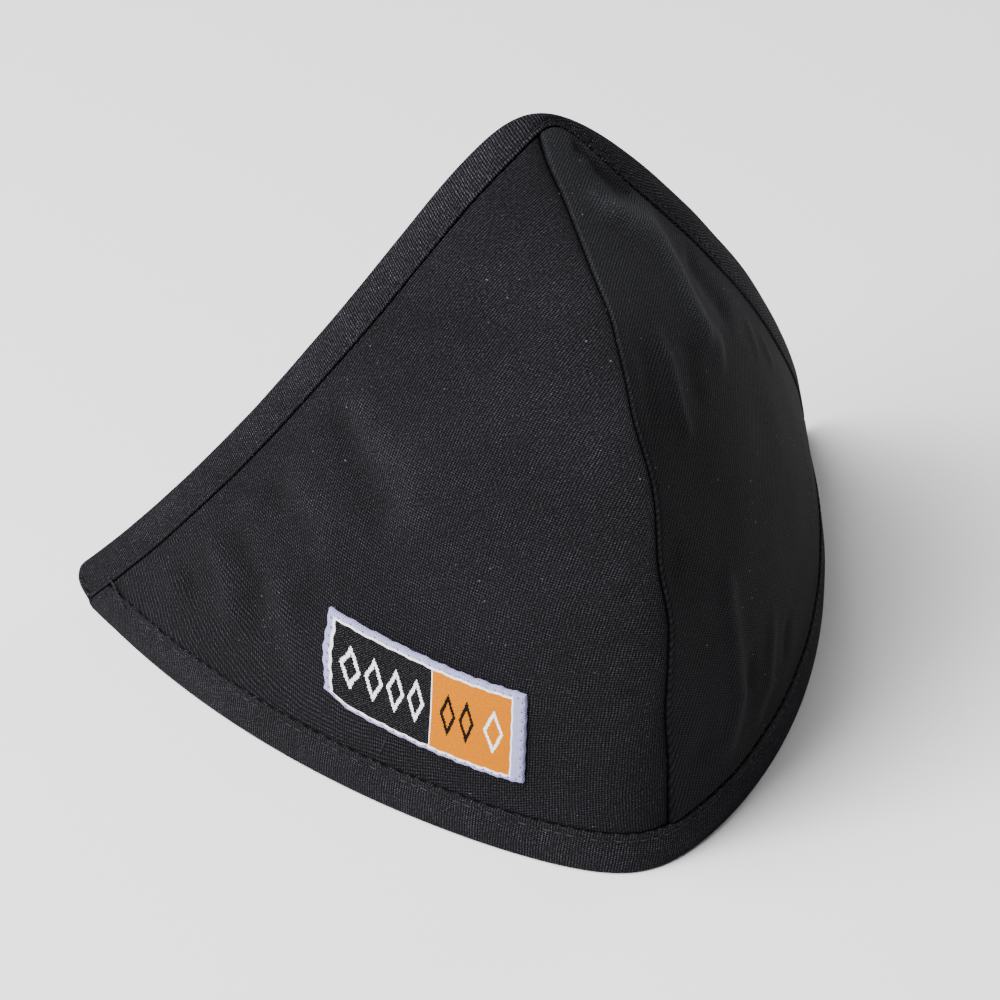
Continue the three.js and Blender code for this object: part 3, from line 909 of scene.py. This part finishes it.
# %% Pad rows and bar tacks
PAD_ROW = ((0.785, 48.4), (0.780, 38.6), (0.775, 19.8))
TACK = ((0.9645, 12.9), (0.9555, 8.7))
TACK_THREADS = 14


def pad_row(side):
    """Stitches through the cheek along the pad's front edge."""
    at, ups = np.array(PAD_ROW).T
    t = np.linspace(0, 2, 200)
    stations = side * np.interp(t, [0, 1, 2], at)
    path, direction = path_on(stations, np.interp(t, [0, 1, 2], ups), -0.05)
    return stitches_along(path, direction, rise=0.14)


def pad_rim(side):
    """Stitches round the pad's face, 1.6 mm inside its rim."""
    s = np.array([PAD_FROM + 0.014, PAD_TO - 0.016])
    high = np.minimum(PAD_HIGH, columns_at(side * s)["height"][:, 0] - PAD_BELOW) - RIM_INSET
    corner_s = s[[0, 1, 1, 0, 0]]
    low = PAD_LOW + RIM_INSET
    corner_up = np.array([low, low, high[1], high[0], low])
    t = np.linspace(0, 4, 400)
    stations = side * np.interp(t, np.arange(5), corner_s)
    ups = np.interp(t, np.arange(5), corner_up)
    path, direction = path_on(stations, ups, -CLOTH - LAID_GAP - PAD_THICK)
    return stitches_along(path, -direction, pitch=2.3, length=1.7, rise=0.2)


def bar_tack(side):
    """Short threads across a bar, each leaning the other way than the last."""
    (s0, up0), (s1, up1) = TACK
    t = np.linspace(0, 1, TACK_THREADS)[:, None]
    across = np.linspace(-1, 1, ALONG)[None]
    slant = 0.25 * across * (-1) ** np.arange(TACK_THREADS)[:, None]
    stations = side * (mix(s0, s1, t) + 0.0022 * across)
    ups = mix(up0, up1, t) + slant
    path, direction = path_on(stations.ravel(), ups.ravel(), PROUD)
    lift = np.tile(0.2 * np.sqrt(1 - across[0] ** 2) - 0.1, TACK_THREADS)[:, None]
    return (path + direction * lift).reshape(TACK_THREADS, ALONG, 3)


pad_rows = tubes("pad_row_stitches", np.concatenate([pad_row(-1), pad_row(1)]), profile * 0.8)
pad_rims = tubes("pad_rim_stitches", np.concatenate([pad_rim(-1), pad_rim(1)]), profile * 0.9)
tacks = tubes("tip_bar_tacks", np.concatenate([bar_tack(-1), bar_tack(1)]), profile * 0.9)

# %% [markdown]
# ## Loose fibres
# Dark cloth gathers lint, and a sewn piece keeps a few thread ends. Each one is a bent hair on
# the cloth. They are few and seeded, so every run gives the same ones.

# %% Fibres
def hairs(starts, ends, bow, lift, rings=9):
    """Centrelines from start to end places: a straight run plus bow x sin(pi t) in station and
    lift x sin(pi t) over the cloth."""
    t = np.linspace(0, 1, rings)
    arc = np.sin(np.pi * t)
    starts, ends = np.asarray(starts, float)[:, :, None], np.asarray(ends, float)[:, :, None]
    stations, ups = np.moveaxis(mix(starts, ends, t), 1, 0)
    stations = stations + np.asarray(bow, float)[:, None] * arc
    path, direction = path_on(stations.ravel(), ups.ravel(), 0.08)
    rise = np.asarray(lift, float)[:, None] * arc
    return (path + direction * rise.ravel()[:, None]).reshape(len(starts), rings, 3)


FIBRES = 70
loose_row = hairs([(-0.662, 18.0)], [(-0.677, 11.8)], [0.001], [0.4])
rust_row = hairs([(-0.592, 4.6)], [(-0.586, 2.4)], [0.008], [0.7])
loose_end = tubes("loose_thread_end", loose_row, np.full(9, 0.06))
red_fibre = tubes("rust_fibre", rust_row, np.full(9, 0.06))
fibre_starts = np.stack(
    [chance.uniform(-0.9, 0.75, FIBRES), chance.uniform(14, 60, FIBRES)], axis=1
)
fibre_starts[: FIBRES // 3, 0] = chance.uniform(-0.5, 0.3, FIBRES // 3)
fibre_starts[: FIBRES // 3, 1] = chance.uniform(60, 130, FIBRES // 3)
fibre_ways = np.stack([chance.normal(0, 0.003, FIBRES), chance.normal(0, 0.5, FIBRES)], axis=1)
fibre_rows = hairs(
    fibre_starts,
    fibre_starts + fibre_ways,
    chance.normal(0, 0.002, FIBRES),
    chance.uniform(0, 0.25, FIBRES),
    5,
)
lint_fibres = tubes("lint_fibres", fibre_rows, np.full(5, 0.032))

# %% [markdown]
# ## Materials
# Twill shows fine diagonal lines, called wales, about half a millimetre apart. An image could
# carry them, but a node group draws them at any size from the cloth's own flat coordinates,
# which are in millimetres. The same group serves the cheeks, the binding and the hem, and a
# second one scatters lint, because dark cloth always carries some. A small class lets the nodes
# be written as formulas.

# %% Node helpers
class Out:
    """One output of a node, by name or number. Brackets pick another output of the same node,
    and arithmetic adds Math nodes."""

    def __init__(self, made, key=0):
        self.made = made
        self.tree = made.id_data
        self.socket = made.outputs[key]

    def __getitem__(self, key):
        return Out(self.made, key)

    def maths(self, operation, *others, **settings):
        """Output of a Math node that starts from this value."""
        inputs = dict(enumerate((self, *others)))
        return node(self.tree, "ShaderNodeMath", inputs, operation=operation, **settings)

    def __add__(self, other):
        return self.maths("ADD", other)

    def __sub__(self, other):
        return self.maths("SUBTRACT", other)

    def __mul__(self, other):
        return self.maths("MULTIPLY", other)

    def __truediv__(self, other):
        return self.maths("DIVIDE", other)


def fill(made, inputs):
    """Each input of a node linked to an output or set to a value."""
    for name, value in inputs.items():
        if isinstance(value, Out):
            made.id_data.links.new(value.socket, made.inputs[name])
        else:
            made.inputs[name].default_value = value


def node(tree, kind, inputs, **settings):
    """First output of a new node with these settings and inputs."""
    made = tree.nodes.new(kind)
    for name, value in settings.items():
        setattr(made, name, value)
    fill(made, inputs)
    return Out(made)


def ramp(value, low, high, to_low=0.0, to_high=1.0):
    """Value mapped smoothly from low..high to to_low..to_high."""
    span = {"Value": value, "From Min": low, "From Max": high, "To Min": to_low, "To Max": to_high}
    return node(value.tree, "ShaderNodeMapRange", span, interpolation_type="SMOOTHSTEP")


def noise(vector, scale, detail=2.0, roughness=0.5):
    """Noise from 0 to 1. Scale is in waves per unit of the vector."""
    inputs = {"Vector": vector, "Scale": scale, "Detail": detail, "Roughness": roughness}
    return node(vector.tree, "ShaderNodeTexNoise", inputs)


def waves(place_on, pitch):
    """Sine of 2 pi place / pitch."""
    return (place_on / pitch * (2 * math.pi)).maths("SINE")


def cells(vector, scale, randomness=1.0):
    """Voronoi cells in the plane of the vector."""
    inputs = {"Vector": vector, "Scale": scale, "Randomness": randomness}
    return node(vector.tree, "ShaderNodeTexVoronoi", inputs, voronoi_dimensions="2D")


def scaled_colour(colour, factor):
    """Colour times a factor."""
    inputs = {0: colour, "Scale": factor}
    return node(factor.tree, "ShaderNodeVectorMath", inputs, operation="SCALE")


def painted(mask, below, above):
    """The colour above where the mask is 1, and the one below elsewhere."""
    inputs = {"Factor": mask, 6: below, 7: above}
    return node(mask.tree, "ShaderNodeMix", inputs, data_type="RGBA")[2]


def new_group(name, inputs, outputs):
    """Empty node group. It takes a vector and then numbers, which every use sets for itself."""
    tree = bpy.data.node_groups.new(name, "ShaderNodeTree")
    tree.interface.new_socket("Vector", in_out="INPUT", socket_type="NodeSocketVector")
    for label in inputs:
        tree.interface.new_socket(label, in_out="INPUT", socket_type="NodeSocketFloat")
    for label in outputs:
        tree.interface.new_socket(label, in_out="OUTPUT", socket_type="NodeSocketFloat")
    return tree, Out(tree.nodes.new("NodeGroupInput")), tree.nodes.new("NodeGroupOutput")


def use_group(group, vector, inputs):
    """One use of a node group on a vector, with its own values."""
    return node(vector.tree, "ShaderNodeGroup", {"Vector": vector, **inputs}, node_tree=group)


print("helpers ready")

# %% Twill
# The cloth sways a little, and its grain curves over the cheek: wales lie at x - bend y^2 / 2
# and cross yarns at y + bend x y. Shade is exp(contrast x grain - 0.15 contrast^2), where the
# last term keeps its mean near one.
SWAY = (0.9, 0.9, 0.9)  # millimetres

twill, spot, twill_out = new_group(
    "twill weave",
    ["Wale Pitch", "Yarn Pitch", "Angle", "Bend", "Contrast"],
    ["Height", "Shade"],
)
sway = noise(spot, 0.16, 3.0)["Color"]
centred = node(twill, "ShaderNodeVectorMath", {0: sway, 1: (0.5, 0.5, 0.5)}, operation="SUBTRACT")
swayed = node(
    twill, "ShaderNodeVectorMath", {0: centred, 1: SWAY, 2: spot}, operation="MULTIPLY_ADD"
)
turned = node(
    twill,
    "ShaderNodeVectorRotate",
    {"Vector": swayed, "Angle": spot["Angle"]},
    rotation_type="Z_AXIS",
)
straight = node(twill, "ShaderNodeSeparateXYZ", {0: spot})
turned = node(twill, "ShaderNodeSeparateXYZ", {0: turned})
bend, contrast = spot["Bend"], spot["Contrast"]
wale = waves(turned["X"] - straight["Y"] * straight["Y"] * bend * 0.5, spot["Wale Pitch"])
yarn = waves(straight["X"] * straight["Y"] * bend + turned["Y"], spot["Yarn Pitch"])
uneven = ramp(noise(spot, 0.3, 2.0, 0.7), 0.3, 0.7, 0.7, 1.25)
woven = (wale * 0.5 + yarn * 0.36 + wale * yarn * 0.15) * uneven
fuzz = noise(spot, 2.2, 2.0, 0.8) - 0.5
grain = woven + fuzz * 3.6
shade = ((grain - contrast * 0.15) * contrast).maths("EXPONENT")
fill(twill_out, {"Height": woven + fuzz * 1.2, "Shade": shade})
print("twill group:", len(twill.nodes), "nodes")

# %% Lint and tone
lint, spot, lint_out = new_group("lint", ["Amount"], ["Mask"])
specks = cells(spot, 0.45)
chance_of = node(lint, "ShaderNodeSeparateColor", {0: specks["Color"]})
patches = ramp(noise(spot, 0.05, 1.0), 0.35, 0.7, 0.4, 1.6)
speck_size = ramp(chance_of[1], 0.0, 1.0, 0.04, 0.10)
near_speck = ramp(specks["Distance"] / speck_size, 0.5, 1.0, 1.0, 0.0)
rare = (chance_of[0] * patches).maths("GREATER_THAN", 0.86)
faint = chance_of[2].maths("POWER", 3.0) * spot["Amount"]
fill(lint_out, {"Mask": (near_speck * rare).maths("MULTIPLY", faint, use_clamp=True)})

tone, spot, tone_out = new_group("cloth tone", ["Spread"], ["Tone"])
both = noise(spot, 0.035, 3.0) * 0.78 + noise(spot, 0.35) * 0.22
fill(tone_out, {"Tone": (both - 0.5) * (spot["Spread"] * 4.0) + 1.0})
print("lint group:", len(lint.nodes), "nodes; tone group:", len(tone.nodes), "nodes")

# %% Cloth materials
WEAVE_RELIEF, PILE_RELIEF = 0.00005, 0.0003  # metres
LINT_COLOUR = (0.10, 0.10, 0.105, 1)
CLOTH_GLOSS = {"IOR": 1.2, "Specular IOR Level": 0.15, "Sheen Tint": (0.8, 0.82, 0.9, 1)}
TWILL_GLOSS = {**CLOTH_GLOSS, "Sheen Weight": 0.003, "Sheen Roughness": 0.45}
LINING_GLOSS = {**CLOTH_GLOSS, "Sheen Weight": 0.012, "Sheen Roughness": 0.6}


def new_material(name):
    """Empty material with its tree and its Principled shader."""
    material = bpy.data.materials.new(name)
    material.use_nodes = True
    return material, material.node_tree, material.node_tree.nodes["Principled BSDF"]


def flat_place(tree):
    """The piece's own flat coordinates, in millimetres."""
    return node(tree, "ShaderNodeUVMap", {}, uv_map="cloth")


def object_place(tree):
    """Object coordinates, in metres."""
    return node(tree, "ShaderNodeTexCoord", {})["Object"]


def surface(shader, colour, roughness, height, bump, gloss):
    """Inputs of a shader. The bump is a strength and a depth in metres."""
    relief = {"Height": height, "Strength": bump[0], "Distance": bump[1]}
    normal = node(height.tree, "ShaderNodeBump", relief)
    fill(shader, {"Base Color": colour, "Roughness": roughness, "Normal": normal, **gloss})


def twill_cloth(name, colour, angle, bend, pitches, contrast, lint_amount, painted_light_and_tone_ramps=()):
    """Dark twill on the piece's own flat coordinates. Its pitches are those of the wales and of the
    cross yarns, in millimetres. Each entry of the last argument is an axis, where a ramp starts and
    ends along that axis, and the factor that the colour has changed by at its end."""
    material, tree, shader = new_material(name)
    flat = flat_place(tree)
    grain = {"Angle": angle, "Bend": bend, "Contrast": contrast}
    spacing = {"Wale Pitch": pitches[0], "Yarn Pitch": pitches[1]}
    weave = use_group(twill, flat, {**grain, **spacing})
    factor = weave["Shade"] * use_group(tone, flat, {"Spread": 0.24})
    # Painted light and shade from the cheek: lighter on fold ridges, darker in fold hollows and
    # down in the seam.
    painted_light_factor = node(tree, "ShaderNodeAttribute", {}, attribute_name="painted_light_and_shade")["Fac"]
    factor = factor * painted_light_factor.maths("EXPONENT")
    for axis, start, end, change in painted_light_and_tone_ramps:
        run = node(tree, "ShaderNodeSeparateXYZ", {0: flat})[axis]
        factor = factor * ramp(run, start, end, 1.0, change)
    lint_mask = use_group(lint, flat, {"Amount": lint_amount})
    dyed = painted(lint_mask, scaled_colour(colour, factor), LINT_COLOUR)
    height = weave["Height"]
    rough = ramp(height, -1.0, 1.0, 0.95, 0.7)
    surface(shader, dyed, rough, height, (0.7, WEAVE_RELIEF), TWILL_GLOSS)
    return material


def brushed_lining(name, colour):
    """Soft lining: short fibres, so noise in place of a weave."""
    material, tree, shader = new_material(name)
    flat = flat_place(tree)
    pile = noise(flat, 1.6, 4.0, 0.7)
    factor = use_group(tone, flat, {"Spread": 0.3}) * ramp(pile, 0.2, 0.8, 0.6, 1.5)
    rough = ramp(pile, 0.2, 0.8, 1.0, 0.85)
    dyed = scaled_colour(colour, factor)
    surface(shader, dyed, rough, pile, (0.8, PILE_RELIEF), LINING_GLOSS)
    return material


left_twill = twill_cloth(
    "left_cheek_twill", (0.0079, 0.0076, 0.0091), -0.16, 0.0078, (0.56, 0.49), 1.35, 0.9
)
# The right cheek's colour rises 2.3 times between 98 and 138 mm up its flat coordinates, so it is
# brighter towards its top.
right_twill = twill_cloth(
    "right_cheek_twill",
    (0.0075, 0.0076, 0.0086),
    0.2,
    0.005,
    (0.95, 0.6),
    0.8,
    2.0,
    painted_light_and_tone_ramps=[("Y", 98.0, 138.0, 2.3)],
)
# Painted light and shade along the binding: lighter from 40 mm towards the nose point, and painted
# shade over its last part on the right.
binding_twill = twill_cloth(
    "binding_twill",
    (0.0091, 0.0088, 0.0106),
    -0.3,
    0.0,
    (0.6, 0.5),
    1.7,
    0.7,
    painted_light_and_tone_ramps=[("X", 40.0, 170.0, 1.36), ("X", 245.0, 275.0, 0.7)],
)
hem_twill = twill_cloth(
    "hem_twill", (0.0105, 0.0101, 0.0119), -0.15, 0.0, (0.6, 0.48), 1.6, 1.0
)
lining = brushed_lining("brushed_lining", (0.011, 0.011, 0.0125))
for piece, material in ((left_cheek, left_twill), (right_cheek, right_twill)):
    piece.data.materials.append(material)
    piece.data.materials.append(lining)
top_strip.data.materials.append(binding_twill)
hem_strip.data.materials.append(hem_twill)
print("cloth materials:", [m.name for m in bpy.data.materials if m.users])

# %% [markdown]
# ## Label weave
# On a woven label the picture is made of the threads themselves, so its edges step from thread
# to thread. The coordinates are rounded to the thread count before the fields are cut out,
# which gives those steps. The pattern is a plain row of lozenges.

# %% Label material
THREAD_ALONG, THREAD_ABOVE = 0.24, 0.3
SATIN_PITCH = 0.42
LOZENGE_REACH, LOZENGE_APART = 5.4, 0.35
BORDER, WHITE, PALE = (0.30, 0.295, 0.50, 1), (0.80, 0.80, 0.86, 1), (0.84, 0.84, 0.88, 1)
BLACK, SOOT = (0.0062, 0.0060, 0.0070, 1), (0.0075, 0.0065, 0.0070, 1)
ORANGE = (0.48, 0.140, 0.0002, 1)
HOLE, WARP_DOT = (0.02, 0.02, 0.03, 1), (0.17, 0.17, 0.185, 1)

label_material, tree, shader = new_material("label_weave")
flat = flat_place(tree)
spot = node(tree, "ShaderNodeSeparateXYZ", {0: flat})
across, up = spot["X"], spot["Y"]


def stepped(value, step):
    """Value rounded to whole steps."""
    return (value / step).maths("ROUND") * step


def within(value, low, high):
    """1 between low and high, else 0."""
    return value.maths("GREATER_THAN", low) * value.maths("LESS_THAN", high)


across_steps = stepped(across, THREAD_ALONG)
up_steps = stepped(up, THREAD_ABOVE)


def rectangle(low, high, half_height):
    """Mask of a rectangle on the label."""
    return within(across_steps, low, high) * within(up_steps, -half_height, half_height)


def lozenges(low, high, pitch, width):
    """Outlines of lozenges in a row: |x| / half width + |y| / half height close to 1."""
    x = (((across_steps - low) / pitch).maths("FRACT") - 0.5) * pitch
    wide = x.maths("ABSOLUTE") / (pitch / 2 - LOZENGE_APART)
    high_up = up_steps.maths("ABSOLUTE") / LOZENGE_REACH
    return within(wide + high_up, 1 - width, 1.0) * within(across_steps, low, high)


def pinholes(to_side, half, along_edge):
    """Small dark spots on the stitch line, one to each stitch."""
    off = along_edge - stepped(along_edge, LABEL_STITCH)
    aside = to_side.maths("ABSOLUTE") - (half - 0.8)
    return ramp(off * off + aside * aside, 0.02, 0.09, 1.0, 0.0)


white_line = rectangle(-21.5, 19.0, 10.0)
black_field = rectangle(-21.1, -1.9, 9.6)
colour = BORDER
for mask, dye in (
    (white_line, WHITE),
    (black_field, BLACK),
    (rectangle(-1.5, 18.6, 9.6), ORANGE),
    (lozenges(-20.1, -2.9, 4.3, 0.36), PALE),
    (lozenges(-0.1, 8.9, 4.5, 0.42), SOOT),
    (lozenges(10.6, 16.8, 6.2, 0.3), PALE),
):
    colour = painted(mask, colour, dye)

satin = waves(up * 0.7 + across, SATIN_PITCH) * (white_line * -1.0 + 1.0)
colour = scaled_colour(colour, ramp(satin, -1.0, 1.0, 0.62, 1.38))
top_holes = pinholes(up, LABEL_HEIGHT / 2, across)
side_holes = pinholes(across, LABEL_LENGTH / 2, up)
colour = painted(top_holes.maths("MAXIMUM", side_holes) * 0.75, colour, HOLE)

checks = waves(across, 2 * THREAD_ALONG) * waves(up, 2 * THREAD_ABOVE) * 0.5 + 0.5
thread_noise = noise(flat, 2.4, 2.0, 0.6)
speckle = ramp(checks, 0.86, 0.99) * ramp(thread_noise, 0.38, 0.6)
colour = painted(speckle * black_field * 0.8, colour, WARP_DOT)
shade = ramp(thread_noise * 0.6 + checks * 0.5, 0.1, 1.0, 0.6, 1.25)
surface(
    shader,
    scaled_colour(colour, shade),
    ramp(checks, 0, 1, 0.8, 0.5),
    thread_noise * 0.4 + checks,
    (0.7, 0.00012),
    {"IOR": 1.25, "Specular IOR Level": 0.03},
)
woven_label.data.materials.append(label_material)
print("label material:", len(tree.nodes), "nodes")

# %% [markdown]
# ## Pads and thread
# Hook tape is a stiff base with rows of little hooks, too small to model one by one at this
# size. Thread is a twisted yarn. Both materials follow the piece: the pad's own flat
# coordinates, and object coordinates for thread.

# %% Pad and thread materials
pad_material, tree, shader = new_material("hook_tape")
dots = ramp(cells(flat_place(tree), 0.8, 0.15)["Distance"], 0.15, 0.4, 1.0, 0.0)
dyed = scaled_colour((0.007, 0.007, 0.0078), ramp(dots, 0, 1, 0.8, 2.6))
surface(shader, dyed, ramp(dots, 0, 1, 0.75, 0.45), dots, (1.0, 0.0006), {})


def thread_material(name, colour, spread):
    """Yarn: a fine twist in the colour and the bump, and a tone of its own for each stitch."""
    material, tree, shader = new_material(name)
    twist = noise(object_place(tree), 4200.0, 2.0, 0.6)
    own = node(tree, "ShaderNodeAttribute", {}, attribute_name="tone")["Fac"]
    factor = ramp(own, 0, 1, 1 - spread, 1 + spread) * ramp(twist, 0.2, 0.8, 0.7, 1.35)
    dyed = scaled_colour(colour, factor)
    rough = ramp(twist, 0.2, 0.8, 0.75, 0.5)
    gloss = {"IOR": 1.3, "Specular IOR Level": 0.2}
    surface(shader, dyed, rough, twist, (0.6, 0.00008), gloss)
    return material


binding_thread = thread_material("binding_thread", (0.0090, 0.0087, 0.0104), 0.3)
hem_thread = thread_material("hem_thread", (0.0125, 0.0121, 0.0142), 0.6)
pale_fibre = thread_material("pale_fibre", (0.028, 0.028, 0.030), 0.7)
rust_thread = thread_material("rust_thread", (0.035, 0.012, 0.006), 0.1)
for material, pieces in (
    (pad_material, (left_pad, right_pad)),
    (binding_thread, (binding_stitches, pad_rows, pad_rims, tacks)),
    (hem_thread, (hem_stitches,)),
    (pale_fibre, (lint_fibres, loose_end)),
    (rust_thread, (red_fibre,)),
):
    for piece in pieces:
        piece.data.materials.append(material)
print("thread and pad materials made")

# %% [markdown]
# ## Stage and light
# The photograph has a white ground and soft light from the upper left, with a weaker one from
# the right that catches the folds. Three large area lamps and a faint white world do the same.

# %% Floor and lamps
LAMP_SIZE = 0.8
LAMP_TARGET = np.array([0, 0, 0.08])

floor_mesh = bpy.data.meshes.new("floor")
floor_mesh.from_pydata([(-6, -6, 0), (6, -6, 0), (6, 6, 0), (-6, 6, 0)], [], [(0, 1, 2, 3)])
floor = add_object("floor", floor_mesh)
floor_material, tree, shader = new_material("pale_floor")
paper = ramp(noise(object_place(tree), 3.0), 0, 1, 0.98, 1.0)
fill(shader, {"Base Color": scaled_colour((0.9, 0.9, 0.9), paper), "Roughness": 0.9})
floor_mesh.materials.append(floor_material)


def area_lamp(name, spot_at, power):
    """Square area lamp that faces the piece."""
    data = bpy.data.lights.new(name, "AREA")
    data.shape = "SQUARE"
    data.size = LAMP_SIZE
    data.energy = power
    away = unit(np.array(spot_at, float) - LAMP_TARGET)
    beside = unit(np.cross([0, 0, 1.0], away))
    axes = np.eye(4)
    axes[:3, 0], axes[:3, 1], axes[:3, 2] = beside, np.cross(away, beside), away
    axes[:3, 3] = spot_at
    add_object(name, data).matrix_world = axes.T.tolist()


area_lamp("left_box", (-1.11, -0.30, 0.96), 51)
area_lamp("overhead", (-0.63, 0.06, 1.36), 26)
area_lamp("right_box", (1.31, 0.61, 0.39), 11)
world = bpy.data.worlds.new("soft_world")
world.use_nodes = True
fill(world.node_tree.nodes["Background"], {"Color": (1, 1, 1, 1), "Strength": 0.2})
bpy.context.scene.world = world
print("stage set")
